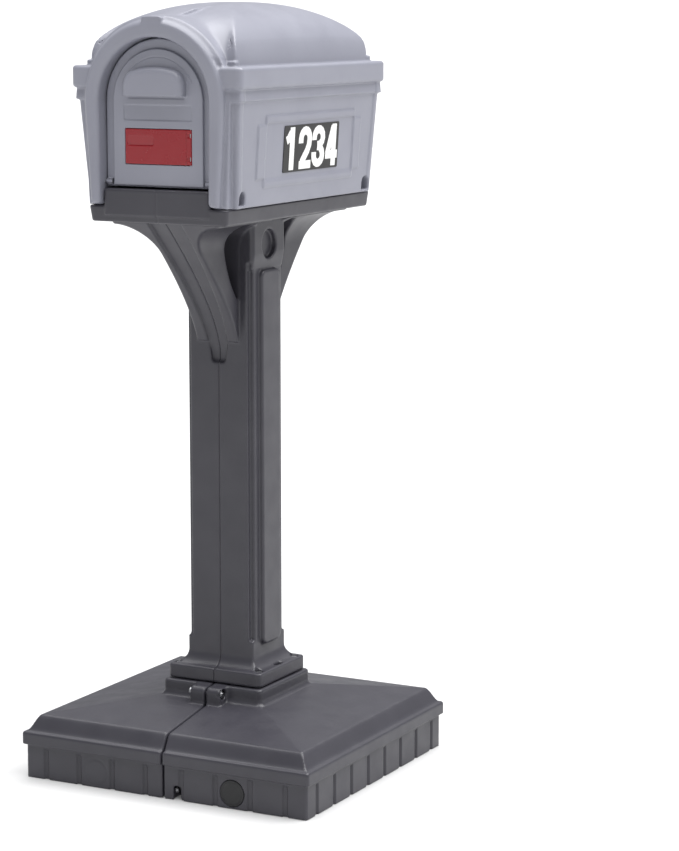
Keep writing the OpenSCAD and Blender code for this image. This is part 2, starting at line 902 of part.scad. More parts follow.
module door() {
    rim = 12;
    color(shell_grey) difference() {
        union() {
            difference() {
                union() {
                    along_y(door_face, door_back) arch_outline(door_r, door_z);
                    along_y(panel_face, door_face + 1)
                        arch_outline(door_r - door_border, door_z + door_border);
                }
                along_y(door_face + 4, door_back + 1) arch_outline(door_r - rim, door_z + 20);
            }
            handle_hood();
            rod([0, door_face + 2, magnet_z], magnet_r + 3, door_t - 2, "y");
        }
        flag_recess();
        along_y(panel_face - 1, panel_face + 2)
            translate([-strip_half, strip_z - strip_h / 2]) square([2 * strip_half, strip_h]);
        for (sx = [-1, 1]) {
            rod([sx > 0 ? door_r - 16 : -door_r - 1, hinge_y, hinge_z], pin_r + pin_clear, 17,
                "x");
        }
        rod([flag_x, flag_y, flag_z - flag_h / 2 - 6], flag_pin_r + eps, flag_h + 12, "z");
        rod([0, door_back - 1.5, magnet_z], magnet_r, 3, "y");
    }
}

module door_hinge_pins() {
    color("silver") for (sx = [-1, 1]) {
        rod([sx > 0 ? door_r - 14 : -arch_r - 11, hinge_y, hinge_z], pin_r - eps,
            arch_r - door_r + 25, "x");
    }
}

module door_magnet() {
    color("#303030") rod([0, -ring_y, magnet_z], magnet_r, ring_t - 2.3, "y");
}

module door_strike() {
    color("silver") rod([0, door_back - 1.5, magnet_z], magnet_r - eps, 1.5, "y");
}

module flag() {
    finger = [46, 16];
    color("#8E1F2D") difference() {
        union() {
            block([-flag_w / 2, panel_face + 0.8, flag_z - flag_h / 2],
                  [flag_x, panel_face + 0.8 + flag_t, flag_z + flag_h / 2]);
            rod([flag_x, flag_y, flag_z - flag_h / 2], barrel_r, flag_h, "z");
        }
        block([-flag_w / 2 + 5, panel_face, flag_z + 3],
              [-flag_w / 2 + 5 + finger[0], panel_face + 2.6, flag_z + 3 + finger[1]]);
        rod([flag_x, flag_y, flag_z - flag_h], flag_pin_r + pin_clear, 2 * flag_h, "z");
    }
}

module flag_hinge_pin() {
    color("silver") rod([flag_x, flag_y, flag_z - flag_h / 2 - 5], flag_pin_r, flag_h + 10, "z");
}

// Anything drawn flat in x and z, laid on the leaning right-hand wall.
module on_right_wall(lift) {
    translate([box_w / 2 - box_draft * (eaves_z - label_z) / box_h, label_y, label_z])
        rotate([0, wall_lean, 0]) translate([lift, 0, 0]) rotate([90, 0, 90]) children();
}

module number_label() {
    color("#2B2626") on_right_wall(0.3) linear_extrude(label_t) round_rect(label_w, label_h, 3);
}

// Block numerals built from bars on a grid: top, middle, bottom and the four uprights.
module numeral(n, w, h, t) {
    bars = [
        [], ["tr", "br"], ["top", "tr", "mid", "bl", "bot"], ["top", "tr", "mid", "br", "bot"],
        ["tl", "mid", "tr", "br"]
    ];
    for (bar = bars[n]) {
        if (bar == "top") translate([0, h - t]) square([w, t]);
        if (bar == "mid") translate([0, (h - t) / 2]) square([w, t]);
        if (bar == "bot") square([w, t]);
        if (bar == "tl") translate([0, (h - t) / 2]) square([t, (h + t) / 2]);
        if (bar == "tr") translate([w - t, (h - t) / 2]) square([t, (h + t) / 2]);
        if (bar == "bl") square([t, (h + t) / 2]);
        if (bar == "br") translate([w - t, 0]) square([t, (h + t) / 2]);
    }
}

module number_digits() {
    digit_w = label_w / 6;
    digit_h = label_h * 0.78;
    pitch = label_w / 4.4;
    color("white") on_right_wall(0.3 + label_t) linear_extrude(0.4) for (i = [0:3]) {
        translate([(i - 1.5) * pitch - digit_w / 2, -digit_h / 2])
            numeral(i + 1, digit_w, digit_h, digit_w / 3);
    }
}

base_left();
base_right();
upper_clamp_bolts();
upper_clamp_nuts();
lower_clamp_bolts();
lower_clamp_nuts();
fill_plug_left();
fill_plug_right();
fill_seal_left();
fill_seal_right();
post_left();
post_right();
post_tie_bolt();
post_tie_nut();
post_foot_screws();
platform();
platform_screws();
housing_shell();
housing_screws();
rear_panel();
rear_panel_screws();
door();
door_hinge_pins();
door_magnet();
door_strike();
flag();
flag_hinge_pin();
number_label();
number_digits();
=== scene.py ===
"""Kerbside mailbox: arched housing with a drop-down door, bracketed post, fillable two-half base."""
import math

import bpy
import numpy as np
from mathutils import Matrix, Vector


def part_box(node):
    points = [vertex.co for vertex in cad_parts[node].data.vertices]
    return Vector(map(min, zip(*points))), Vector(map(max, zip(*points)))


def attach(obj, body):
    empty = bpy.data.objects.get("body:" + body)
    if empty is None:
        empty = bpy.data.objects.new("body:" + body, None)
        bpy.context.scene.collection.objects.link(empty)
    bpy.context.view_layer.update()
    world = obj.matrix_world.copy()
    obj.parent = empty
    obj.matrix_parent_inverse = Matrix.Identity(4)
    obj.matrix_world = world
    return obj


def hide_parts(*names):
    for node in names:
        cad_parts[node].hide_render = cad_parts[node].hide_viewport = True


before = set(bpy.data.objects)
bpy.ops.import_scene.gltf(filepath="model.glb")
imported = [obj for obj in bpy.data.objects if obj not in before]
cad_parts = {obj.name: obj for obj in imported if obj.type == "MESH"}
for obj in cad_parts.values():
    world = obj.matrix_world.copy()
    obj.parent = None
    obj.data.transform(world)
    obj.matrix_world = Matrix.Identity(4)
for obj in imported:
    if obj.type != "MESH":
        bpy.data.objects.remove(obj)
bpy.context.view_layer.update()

# ---------------------------------------------------------------------------------------------
# Studio: a pale floor that fills the view, a wide silk overhead, a softbox from the right and a
# pale surround; a long lens a little above the roof, 27.5 degrees to the right of the door.

scene = bpy.context.scene
scene.view_settings.view_transform = "Standard"
scene.view_settings.look = "None"


def linear(code):
    """An sRGB hex colour as the linear colour that a shader works in."""
    srgb = np.array([int(code[i : i + 2], 16) for i in (1, 3, 5)]) / 255
    low = srgb <= 0.04045
    return (*np.where(low, srgb / 12.92, ((srgb + 0.055) / 1.055) ** 2.4), 1.0)


def add_node(tree, kind, inputs=None, **settings):
    """Adds a shader node with its settings; an input is a value, or a socket to link from."""
    node = tree.nodes.new("ShaderNode" + kind)
    for key, value in settings.items():
        setattr(node, key, value)
    for key, value in (inputs or {}).items():
        if isinstance(value, bpy.types.NodeSocket):
            tree.links.new(value, node.inputs[key])
        else:
            node.inputs[key].default_value = value
    return node


FLOOR_REACH = 1500.0
bpy.ops.mesh.primitive_plane_add(size=2 * FLOOR_REACH, location=(0, 0, -0.0004))
floor = bpy.context.object
floor.name = "studio_floor"
paper = bpy.data.materials.new("white_paper_sweep")
paper.use_nodes = True
paper_shader = paper.node_tree.nodes["Principled BSDF"]
paper_shader.inputs["Base Color"].default_value = linear("#C6C6C6")
paper_shader.inputs["Roughness"].default_value = 0.9
paper_shader.inputs["Specular IOR Level"].default_value = 0.1
paper_shader.inputs["Emission Color"].default_value = (1, 1, 1, 1)
paper_shader.inputs["Emission Strength"].default_value = 0.08
floor.data.materials.append(paper)

world = bpy.data.worlds.new("studio_surround")
world.use_nodes = True
world.node_tree.nodes["Background"].inputs["Color"].default_value = (0.96, 0.97, 1.0, 1)
world.node_tree.nodes["Background"].inputs["Strength"].default_value = 0.35
scene.world = world


def lamp(name, kind, place, power, spread):
    """A lamp that faces the mailbox; spread is an area lamp's side or a sun's angle."""
    data = bpy.data.lights.new(name, kind)
    data.energy = power
    setattr(data, "size" if kind == "AREA" else "angle", spread)
    light = bpy.data.objects.new(name, data)
    light.location = place
    across, up = math.hypot(place[0], place[1]), place[2] - 0.8
    light.rotation_euler = (math.atan2(across, up), 0, math.atan2(place[0], -place[1]))
    scene.collection.objects.link(light)
    return light


lamp("overhead_silk", "SUN", (0.5, 0.5, 5.0), 5.7, math.radians(75))
lamp("softbox_right", "AREA", (2.4, 1.2, 3.0), 26, 1.4)

LENS_MM = 113.1
SENSOR_MM = 36.0
CAMERA_YAW = 27.53
CAMERA_PITCH = 9.13
CAMERA_PLACE = (2.39905, -4.19122, 1.40833)
camera_data = bpy.data.cameras.new("view_camera")
camera_data.lens = LENS_MM
camera_data.sensor_width = SENSOR_MM
camera_data.clip_end = 4000
camera = bpy.data.objects.new("view_camera", camera_data)
camera.location = CAMERA_PLACE
camera.rotation_euler = (math.radians(90 - CAMERA_PITCH), 0, math.radians(CAMERA_YAW))
scene.collection.objects.link(camera)
scene.camera = camera

# ---------------------------------------------------------------------------------------------
# Base: two like tanks of charcoal rotomoulded polyethylene, turned end for end to each other and
# bolted together round the foot of the post. Grooved skirt, lip, ogee, hipped top and collar.

MM = 1000.0


def span(node):
    """Lowest and highest corner of a CAD node, in millimetres."""
    low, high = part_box(node)
    return np.array(low) * MM, np.array(high) * MM


def both(a, b, r):
    """Distance to what two shapes share, its edge rounded to radius r."""
    outside = np.sqrt(np.maximum(a + r, 0) ** 2 + np.maximum(b + r, 0) ** 2)
    return np.minimum(np.maximum(a, b), -r) + outside


def either(a, b, r):
    """Distance to two shapes together, with a fillet of radius r where they meet."""
    return -both(-a, -b, r)


def cut(a, b, r):
    """Distance to shape a with shape b taken out of it, the rim rounded to radius r."""
    return both(a, -b, r)


def ease(t):
    """A smooth step from 0 to 1 as t goes from 0 to 1."""
    t = np.clip(t, 0, 1)
    return t * t * (3 - 2 * t)


def brick(p, centre, half, r):
    """Distance to a box with round edges: p, its centre and half sizes are x, y, z."""
    gaps = [np.abs(a - c) - h + r for a, c, h in zip(p, centre, half)]
    outside = np.sqrt(sum(np.maximum(g, 0) ** 2 for g in gaps))
    inside = np.minimum(np.maximum(np.maximum(gaps[0], gaps[1]), gaps[2]), 0)
    return outside + inside - r


def pillar(a, b, half_a, half_b, r):
    """Distance to an endless square bar in two coordinates, its long edges rounded."""
    return both(np.abs(a) - half_a, np.abs(b) - half_b, r)


def slope_of(shape, p, h=0.5):
    """Gradient of a distance at points p, by central differences over h."""
    parts = []
    for k in range(3):
        step = np.zeros(3)
        step[k] = h
        parts.append((shape(*(p + step).T) - shape(*(p - step).T)) / (2 * h))
    return np.stack(parts, 1)


def skin(shape, low, high, step):
    """Vertices (mm) and quads of the surface where shape(x, y, z) is zero.

    The distance is worked out over a grid as whole arrays. Each grid cell that the surface
    passes through gets one vertex, the mean of the crossings on its edges, and each crossed
    edge gets the quad of the four cells round it. Newton steps then put the vertices on the
    surface itself.
    """
    axes = [np.arange(a - 1.5 * step, b + 2.5 * step, step) for a, b in zip(low, high)]
    sparse = np.meshgrid(*axes, indexing="ij", sparse=True)
    field = np.broadcast_to(shape(*sparse), [len(a) for a in axes])
    inside = field < 0
    cells = np.array(field.shape) - 1
    strides = np.array([cells[1] * cells[2], cells[2], 1])
    keys, points = [], []
    for k in range(3):
        u, v = (k + 1) % 3, (k + 2) % 3
        one = tuple(slice(0, -1) if i == k else slice(None) for i in range(3))
        two = tuple(slice(1, None) if i == k else slice(None) for i in range(3))
        at = np.argwhere(inside[one] != inside[two])
        first, second = field[one][tuple(at.T)], field[two][tuple(at.T)]
        point = at.astype(float)
        point[:, k] += first / (first - second)
        ring = []
        for du, dv in ((0, 0), (1, 0), (1, 1), (0, 1)):
            cell = at.copy()
            cell[:, u] -= du
            cell[:, v] -= dv
            ring.append(cell @ strides)
        ring = np.stack(ring, 1)
        ring[first > 0] = ring[first > 0][:, ::-1]
        keys.append(ring)
        points.append(np.repeat(point[:, None, :], 4, axis=1))
    keys, points = np.concatenate(keys), np.concatenate(points)
    used, quads = np.unique(keys.ravel(), return_inverse=True)
    count = np.bincount(quads)
    vertices = np.stack(
        [np.bincount(quads, points[..., c].ravel()) / count for c in range(3)], 1
    )
    vertices = vertices * step + np.array([a[0] for a in axes])
    for _ in range(2):
        slope = slope_of(shape, vertices)
        size = np.maximum((slope**2).sum(1), 0.05)
        move = -(shape(*vertices.T) / size)[:, None] * slope
        length = np.linalg.norm(move, axis=1, keepdims=True)
        vertices += move * np.minimum(1, 0.6 * step / np.maximum(length, 1e-9))
    return vertices, quads.reshape(-1, 4)


def turned_round(vertices, quads):
    """The same surface turned half a turn about the upright axis."""
    return vertices * np.array([-1, -1, 1]), quads


def make_piece(name, surface, material, body, slot, *nodes):
    """A mesh object, smooth shaded, that rides on a body and stands for CAD nodes."""
    vertices, quads = surface
    mesh = bpy.data.meshes.new(name)
    mesh.vertices.add(len(vertices))
    mesh.vertices.foreach_set("co", (vertices / MM).ravel())
    mesh.loops.add(quads.size)
    mesh.loops.foreach_set("vertex_index", quads.ravel())
    mesh.polygons.add(len(quads))
    mesh.polygons.foreach_set("loop_start", np.arange(len(quads)) * quads.shape[1])
    mesh.polygons.foreach_set("use_smooth", np.ones(len(quads), bool))
    mesh.update(calc_edges=True)
    mesh.validate()
    mesh.materials.append(material)
    piece = bpy.data.objects.new(name, mesh)
    scene.collection.objects.link(piece)
    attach(piece, body)
    if nodes:
        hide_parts(*nodes)
    return piece


def clouded_satin(name, colour, deeper, roughness):
    """A solid coloured through, IOR 1.51: its tone only clouds a little over a hand's width,
    and its satin face has a faint 3 mm orange peel, as an oven-heated tool leaves it."""
    material = bpy.data.materials.new(name)
    material.use_nodes = True
    tree = material.node_tree
    shader = tree.nodes["Principled BSDF"]
    shader.inputs["IOR"].default_value = 1.51
    where = add_node(tree, "TexCoord").outputs["Object"]
    cloud = add_node(tree, "TexNoise", {"Vector": where, "Scale": 1 / 0.11, "Detail": 4.0})
    tone = add_node(tree, "ValToRGB", {"Fac": cloud.outputs["Fac"]})
    tone.color_ramp.elements[0].position = 0.32
    tone.color_ramp.elements[0].color = linear(deeper)
    tone.color_ramp.elements[1].position = 0.68
    tone.color_ramp.elements[1].color = linear(colour)
    tree.links.new(tone.outputs["Color"], shader.inputs["Base Color"])
    scuff = add_node(tree, "TexNoise", {"Vector": where, "Scale": 1 / 0.035, "Detail": 6.0})
    gloss = add_node(
        tree,
        "MapRange",
        {
            "Value": scuff.outputs["Fac"],
            "From Min": 0.3,
            "From Max": 0.7,
            "To Min": roughness - 0.05,
            "To Max": roughness + 0.06,
        },
    )
    tree.links.new(gloss.outputs["Result"], shader.inputs["Roughness"])
    peel = add_node(tree, "TexNoise", {"Vector": where, "Scale": 1 / 0.003, "Detail": 2.0})
    bump = add_node(
        tree, "Bump", {"Height": peel.outputs["Fac"], "Strength": 0.16, "Distance": 0.0004}
    )
    tree.links.new(bump.outputs["Normal"], shader.inputs["Normal"])
    return material


# Rotomoulded polyethylene: an even, slightly waxy charcoal with no sharp highlights.
charcoal = clouded_satin("charcoal_polyethylene", "#3B3A41", "#36353C", 0.40)

LIP_W, LIP_D, COLLAR_TOP = span("base_right")[1]
SKIRT_IN = 6.0
LIP_FOOT = 62.0
LIP_TOP = 86.0
SHOULDER_IN = 28.0
SHOULDER_TOP = 115.0
COLLAR_FOOT = 139.0
COLLAR_W = 102.5
COLLAR_D = 94.5
SOCKET_W = 72.5
SOCKET_D = 64.5
SEAM = 1.5
GROOVE_HALF = 5.0
GROOVE_DEEP = 3.5
SIDE_GROOVES = (33.0, 65.5)
END_GROOVES = (37.0, 70.0)
LUG_WIDE = 32.0
LUG_OUT = 118.5
LUG_TOP = 167.0
SINK_R = 9.6
POCKET_X = 27.5
POCKET_DEEP = 27.6
POCKET_TOP = 28.8
PLUG_LOW, PLUG_HIGH = span("fill_plug_right")
PLUG_X = (PLUG_LOW[0] + PLUG_HIGH[0]) / 2
PLUG_Z = (PLUG_LOW[2] + PLUG_HIGH[2]) / 2
PLUG_R = (PLUG_HIGH[0] - PLUG_LOW[0]) / 2
NUT_LOW, NUT_HIGH = span("upper_clamp_nuts")
HEAD_T = 5.2
CLAMP_X = NUT_HIGH[0] - HEAD_T
CLAMP_Y = LUG_OUT - 12
CLAMP_Z = (NUT_LOW[2] + NUT_HIGH[2]) / 2


def groove_row(along, first, pitch):
    """How deep the skirt's upright grooves are, along one side: 1 at their middles."""
    away = np.abs((np.abs(along) - first + pitch / 2) % pitch - pitch / 2)
    return ease((GROOVE_HALF + 1 - away) / 2.5)


def hip(edge, run):
    """Height of the top over its distance in from the lip: ledge, ogee, slope."""
    ogee = ease((edge - 5) / (SHOULDER_IN - 5))
    slope = np.clip((edge - SHOULDER_IN) / (run - SHOULDER_IN), 0, 1)
    return LIP_TOP + (SHOULDER_TOP - LIP_TOP) * ogee + (COLLAR_FOOT - SHOULDER_TOP) * slope


def base_shape(x, y, z):
    """The right half of the base."""
    wide, deep = np.abs(x), np.abs(y)
    inset = SKIRT_IN * ease((LIP_FOOT + 1 - z) / 2)
    fade = ease((LIP_FOOT - 4 - z) / 4) * GROOVE_DEEP
    side_x = wide - LIP_W + inset + fade * groove_row(y, *SIDE_GROOVES)
    side_y = deep - LIP_D + inset + fade * groove_row(x, *END_GROOVES)
    top = np.minimum(hip(LIP_W - wide, LIP_W - COLLAR_W), hip(LIP_D - deep, LIP_D - COLLAR_D))
    solid = both(both(side_x, side_y, 5.0), 0.72 * (z - top), 4)
    solid = np.maximum(solid, -z)
    collar = both(pillar(x, y, COLLAR_W, COLLAR_D, 9), z - COLLAR_TOP, 5)
    solid = either(solid, collar, 8)
    lug = both(both(deep - LUG_OUT, z - LUG_TOP, 11), x - LUG_WIDE, 4)
    lug = np.maximum(np.maximum(lug, COLLAR_D - 8 - deep), COLLAR_FOOT - 20 - z)
    solid = either(solid, lug, 3.5)
    sink = both(np.hypot(y + CLAMP_Y, z - CLAMP_Z) - SINK_R, CLAMP_X - x, 1)
    solid = cut(solid, sink, 1.5)
    solid = cut(solid, brick((x, y, z), (0, 0, 150), (SOCKET_W, SOCKET_D, 110), 3), 2)
    skirt = LIP_D - SKIRT_IN
    pocket = brick((x, deep, z), (POCKET_X, skirt - 5 - POCKET_DEEP / 2, 0),
                   (8.5, POCKET_DEEP / 2, POCKET_TOP), 4)
    slot = brick((x, y, z), (POCKET_X, -skirt, 0), (6.0, 12, 26), 5.5)
    solid = cut(solid, np.minimum(pocket, slot), 1.2)
    bore = np.hypot(x - PLUG_X, z - PLUG_Z) - PLUG_R - 0.4
    solid = cut(solid, np.maximum(bore, y + LIP_D - 16), 1.2)
    blind = np.abs(np.hypot(x - PLUG_X, z - PLUG_Z) - PLUG_R) - 0.9
    solid = cut(solid, np.maximum(blind, skirt - 1.2 - y), 0.8)
    return both(solid, SEAM - x, 4.0)


base_half = skin(base_shape, (0, -LIP_D, 0), (LIP_W, LIP_D, COLLAR_TOP), 2.6)
base_half[0][:, 2] = np.maximum(base_half[0][:, 2], 0)
make_piece("base_half_right", base_half, charcoal, "stand", "charcoal_plastic", "base_right")
make_piece(
    "base_half_left", turned_round(*base_half), charcoal, "stand", "charcoal_plastic", "base_left"
)

# ---------------------------------------------------------------------------------------------
# Filler plugs: a black polyethylene stopper in each tank, pushed in by hand against a rubber
# seal. A flat round head with a low rim.

# Injection-moulded polyethylene: near black and duller than the tanks.
black_plastic = clouded_satin("black_polyethylene", "#1B1B1D", "#161618", 0.5)


def plug_shape(x, y, z):
    """The right half's plug, its head facing -y."""
    radius = np.hypot(x - PLUG_X, z - PLUG_Z)
    back = y - PLUG_LOW[1]
    head = both(radius - PLUG_R, np.abs(back - 2.5) - 2.5, 1)
    stem = both(radius - PLUG_R + 4, np.abs(back - 10) - 10, 1)
    solid = either(head, stem, 0.5)
    dish = both(radius - PLUG_R + 3, back - 0.9, 0.6)
    hollow = both(radius - PLUG_R + 8, 5 - back, 1)
    return cut(cut(solid, dish, 0.6), hollow, 0.6)


plug = skin(plug_shape, PLUG_LOW, PLUG_HIGH, 0.9)
make_piece("filler_plug_right", plug, black_plastic, "filler_right", "black_plastic",
           "fill_plug_right")
make_piece("filler_plug_left", turned_round(*plug), black_plastic, "filler_left",
           "black_plastic", "fill_plug_left")


def dress(material, *nodes):
    """Gives its material to each CAD node that is shown as it is."""
    for name in nodes:
        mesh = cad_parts[name].data
        mesh.materials.clear()
        mesh.materials.append(material)


# Nitrile rubber: dead black, almost without gloss.
rubber = clouded_satin("black_nitrile_rubber", "#141414", "#101010", 0.62)
dress(rubber, "fill_seal_left", "fill_seal_right")

# ---------------------------------------------------------------------------------------------
# Clamp hardware: zinc-plated hex bolts and nuts, M8, two through the lugs at the collar and two
# through the tabs at the foot of the seam, front and back.


def zinc_plate():
    """Bright zinc on steel: metal, a cool grey with a soft, slightly uneven sheen."""
    material = bpy.data.materials.new("zinc_plated_steel")
    material.use_nodes = True
    tree = material.node_tree
    shader = tree.nodes["Principled BSDF"]
    shader.inputs["Metallic"].default_value = 1.0
    shader.inputs["Base Color"].default_value = linear("#A9AAAD")
    where = add_node(tree, "TexCoord").outputs["Object"]
    bloom = add_node(tree, "TexNoise", {"Vector": where, "Scale": 1 / 0.004, "Detail": 3.0})
    gloss = add_node(
        tree, "MapRange", {"Value": bloom.outputs["Fac"], "To Min": 0.26, "To Max": 0.46}
    )
    tree.links.new(gloss.outputs["Result"], shader.inputs["Roughness"])
    return material


zinc = zinc_plate()


def joined(*surfaces):
    """Several surfaces as one set of vertices and quads."""
    starts = np.cumsum([0] + [len(v) for v, _ in surfaces])
    quads = [q + s for (_, q), s in zip(surfaces, starts)]
    return np.concatenate([v for v, _ in surfaces]), np.concatenate(quads)


HEX_FLAT = 0.866
BOLT_R = 4.0
THREAD_OUT = 2.0


def hexagon_shape(y, z, centre_y, centre_z, r):
    """Distance to a hexagon bar along x, a corner up, r to its corners."""
    across, up = np.abs(y - centre_y), np.abs(z - centre_z)
    return np.maximum(across, 0.5 * across + HEX_FLAT * up) - HEX_FLAT * r


def bolt_and_nut(bolts, nuts, head_t):
    """The front clamp bolt, its head on the left, with its nut on the right."""
    low, high = span(bolts)
    nut_high = span(nuts)[1]
    left = low[0]
    head = (high[2] - low[2]) / 2
    centre_y = low[1] + HEX_FLAT * head
    centre_z = (low[2] + high[2]) / 2

    def shape(x, y, z):
        radius = np.hypot(y - centre_y, z - centre_z)
        hexes = both(hexagon_shape(y, z, centre_y, centre_z, head), radius - 0.97 * head, 0.4)
        first = both(hexes, np.maximum(left - x, x - left - head_t), 0.5)
        second = both(hexes, np.maximum(nut_high[0] - head_t - x, x - nut_high[0]), 0.5)
        reach = np.maximum(left + 1 - x, x - nut_high[0] - THREAD_OUT)
        shank = both(radius - BOLT_R, reach, 0.5)
        return np.minimum(np.minimum(first, second), shank)

    low_corner = (left, centre_y - head, centre_z - head)
    high_corner = (nut_high[0] + THREAD_OUT, centre_y + head, centre_z + head)
    return skin(shape, low_corner, high_corner, 0.9)


for level in ("upper", "lower"):
    bolts, nuts = level + "_clamp_bolts", level + "_clamp_nuts"
    front = bolt_and_nut(bolts, nuts, HEAD_T)
    make_piece(level + "_clamp_hardware", joined(front, turned_round(*front)), zinc, "stand",
               "zinc_steel", bolts, nuts)

# ---------------------------------------------------------------------------------------------
# Post: two mirrored rotomoulded halves, screwed to the base at the foot and bolted together
# through a round recess at the head. Bracket arms reach out to the front and the back.

POST_TOP = span("post_right")[1][2]
POST_W = 68.0
POST_D = 60.0
FOOT_LOW = 169.5
FOOT_HIGH = 195.0
FOOT_W = 97.0
FOOT_D = 86.0
COVE_OUT = 25.0
COVE_UP = 26.0
CORNER_GROOVE = 9.0
GROOVE_FROM = 247.0
GROOVE_TO = 939.5
PANEL_HALF = 33.0
PANEL_FROM = 237.0
PANEL_TO = 923.5
PANEL_OUT = 8.0
HEAD_D = 56.0
HEAD_FOOT = 922.0
FOOT_SCREW_X = 83.5
FOOT_SCREW_Y = 66.0
ARM_FOOT = 795.5
ARM_TOP_HALF = 106.0
ARM_FLARE_OUT = 63.0
ARM_FLARE_UP = 55.0
ARM_FLARE_FOOT = 960.0
ARM_OUTER = np.array([(64, 795), (90, 872), (240, 1015)])
ARM_INNER = np.array([(60, 868), (113, 926), (114, 1012)])
WINDOW_TOP = 1009.0
CHANNEL_DEEP = 5.0
CHANNEL_Z = (756, 800, 1015)
CHANNEL_HALF = (13, 20, 33)
TIE_Z = 969.5
TIE_R = 26.0
TIE_DEEP = 6.0
SPIGOT_FOOT = 40.0


def mirrored(vertices, quads):
    """The same surface mirrored left to right, faces still outwards."""
    return vertices * np.array([-1, 1, 1]), quads[:, ::-1]


def bow(points, count=26):
    """Points along a curve: (1-t)^2 first + 2t(1-t) middle + t^2 last, t from 0 to 1."""
    t = np.linspace(0, 1, count)[:, None]
    return (1 - t) ** 2 * points[0] + 2 * t * (1 - t) * points[1] + t**2 * points[2]


def beside(u, v, line):
    """Distance from an open line in a plane: positive on its right-hand side.

    Each stretch of the line gives a distance with the sign of its cross product, and each
    point keeps the nearest. The two ends run on straight.
    """
    line = np.concatenate([
        [line[0] - 60 * (line[1] - line[0]) / np.linalg.norm(line[1] - line[0])],
        line,
        [line[-1] + 60 * (line[-1] - line[-2]) / np.linalg.norm(line[-1] - line[-2])],
    ])
    best = np.full(np.broadcast(u, v).shape, 1e6)
    for (au, av), (bu, bv) in zip(line[:-1], line[1:]):
        du, dv = bu - au, bv - av
        t = np.clip(((u - au) * du + (v - av) * dv) / (du * du + dv * dv), 0, 1)
        gap = np.hypot(u - au - t * du, v - av - t * dv)
        sign = np.where((u - au) * dv - (v - av) * du > 0, 1.0, -1.0)
        best = np.where(gap < np.abs(best), gap * sign, best)
    return best


def post_shape(x, y, z):
    """The right half of the post."""
    wide, deep = np.abs(x), np.abs(y)
    rise = np.maximum(FOOT_HIGH + COVE_UP - z, 0) / COVE_UP
    cove_x = COVE_UP * (1 - np.hypot(np.maximum(POST_W + COVE_OUT - wide, 0) / COVE_OUT, rise))
    cove_y = COVE_UP * (1 - np.hypot(np.maximum(POST_D + COVE_OUT - deep, 0) / COVE_OUT, rise))
    past_x, past_y = wide - POST_W - COVE_OUT, deep - POST_D - COVE_OUT
    cove_x = np.where(past_x > 0, COVE_UP + past_x, cove_x)
    cove_y = np.where(past_y > 0, COVE_UP + past_y, cove_y)
    solid = both(cove_x, cove_y, 3)
    solid = both(solid, FOOT_HIGH - 4 - z, 1)
    ends = np.abs(z - (GROOVE_FROM + GROOVE_TO) / 2) - (GROOVE_TO - GROOVE_FROM) / 2
    corner = both(POST_W - CORNER_GROOVE - wide, POST_D - CORNER_GROOVE - deep, 1.5)
    solid = cut(solid, both(corner, ends, 6), 2.5)
    foot = both(pillar(x, y, FOOT_W, FOOT_D, 9), np.maximum(FOOT_LOW - z, z - FOOT_HIGH), 3)
    solid = either(solid, foot, 2)
    screw = np.hypot(wide - FOOT_SCREW_X, deep - FOOT_SCREW_Y) - 7.5
    slot = np.hypot(wide - 86, np.maximum(deep - 9, 0)) - 3.5
    sink = np.minimum(screw, slot)
    solid = cut(solid, both(sink, FOOT_HIGH - 6 - z, 1), 1.5)
    head = both(deep - HEAD_D, wide - POST_W - 4.5 * ease((z - HEAD_FOOT) / 34), 3)
    solid = either(solid, both(head, HEAD_FOOT + 4 - z, 2), 3)
    ends = np.abs(z - (PANEL_FROM + PANEL_TO) / 2) - (PANEL_TO - PANEL_FROM) / 2
    panel = both(deep - PANEL_HALF, ends, 12)
    solid = either(solid, both(panel, wide - POST_W - PANEL_OUT, 3.5), 3)
    outer = beside(deep, z, bow(ARM_OUTER))
    flare_x = np.maximum(ARM_TOP_HALF - wide, 0) / ARM_FLARE_OUT
    flare_z = np.maximum(z - ARM_FLARE_FOOT, 0) / ARM_FLARE_UP
    flare = (ARM_FLARE_OUT + ARM_FLARE_UP) / 2
    spread = flare * (1 - np.hypot(flare_x, flare_z))
    spread = np.where(wide > ARM_TOP_HALF, flare + wide - ARM_TOP_HALF, spread)
    arm = both(np.maximum(outer, POST_D - 14 - deep), spread, 4)
    arm = both(arm, ARM_FOOT - z, 1.5)
    inner = beside(deep, z, bow(ARM_INNER))
    window = both(both(POST_D - deep, inner, 8), z - WINDOW_TOP, 26)
    solid = cut(either(solid, arm, 3), window, 3)
    channel_half = np.interp(z, CHANNEL_Z, CHANNEL_HALF)
    floor = both(-CHANNEL_DEEP - outer, POST_D - 6 - deep, 4)
    channel = both(both(floor, wide - channel_half, 2), CHANNEL_Z[0] - z, 8)
    solid = cut(solid, channel, 2)
    recess = both(np.hypot(y, z - TIE_Z) - TIE_R, POST_W - TIE_DEEP - wide, 3)
    solid = cut(solid, recess, 3)
    ends = np.maximum(SPIGOT_FOOT - z, z - FOOT_LOW - 4)
    spigot = both(pillar(x, y, POST_W + 4, POST_D + 4, 3), ends, 2)
    solid = np.minimum(solid, spigot)
    return both(both(solid, z - POST_TOP, 2), -x, 1.3)


post_half = skin(post_shape, (0, -242, SPIGOT_FOOT), (108, 242, POST_TOP), 2.5)
make_piece("post_half_right", post_half, charcoal, "stand", "charcoal_plastic", "post_right")
make_piece("post_half_left", mirrored(*post_half), charcoal, "stand", "charcoal_plastic",
           "post_left")

dress(zinc, "post_foot_screws")

# Black oxide on steel: a thin oiled black that hides the metal's shine.
black_oxide = clouded_satin("black_oxide_steel", "#1E1E20", "#19191B", 0.42)
dress(black_oxide, "post_tie_bolt", "post_tie_nut")

# ---------------------------------------------------------------------------------------------
# Platform: a charcoal rotomoulded tray on the arms, with a raised sill that runs through the
# housing and closes the foot of the arch, front and back.

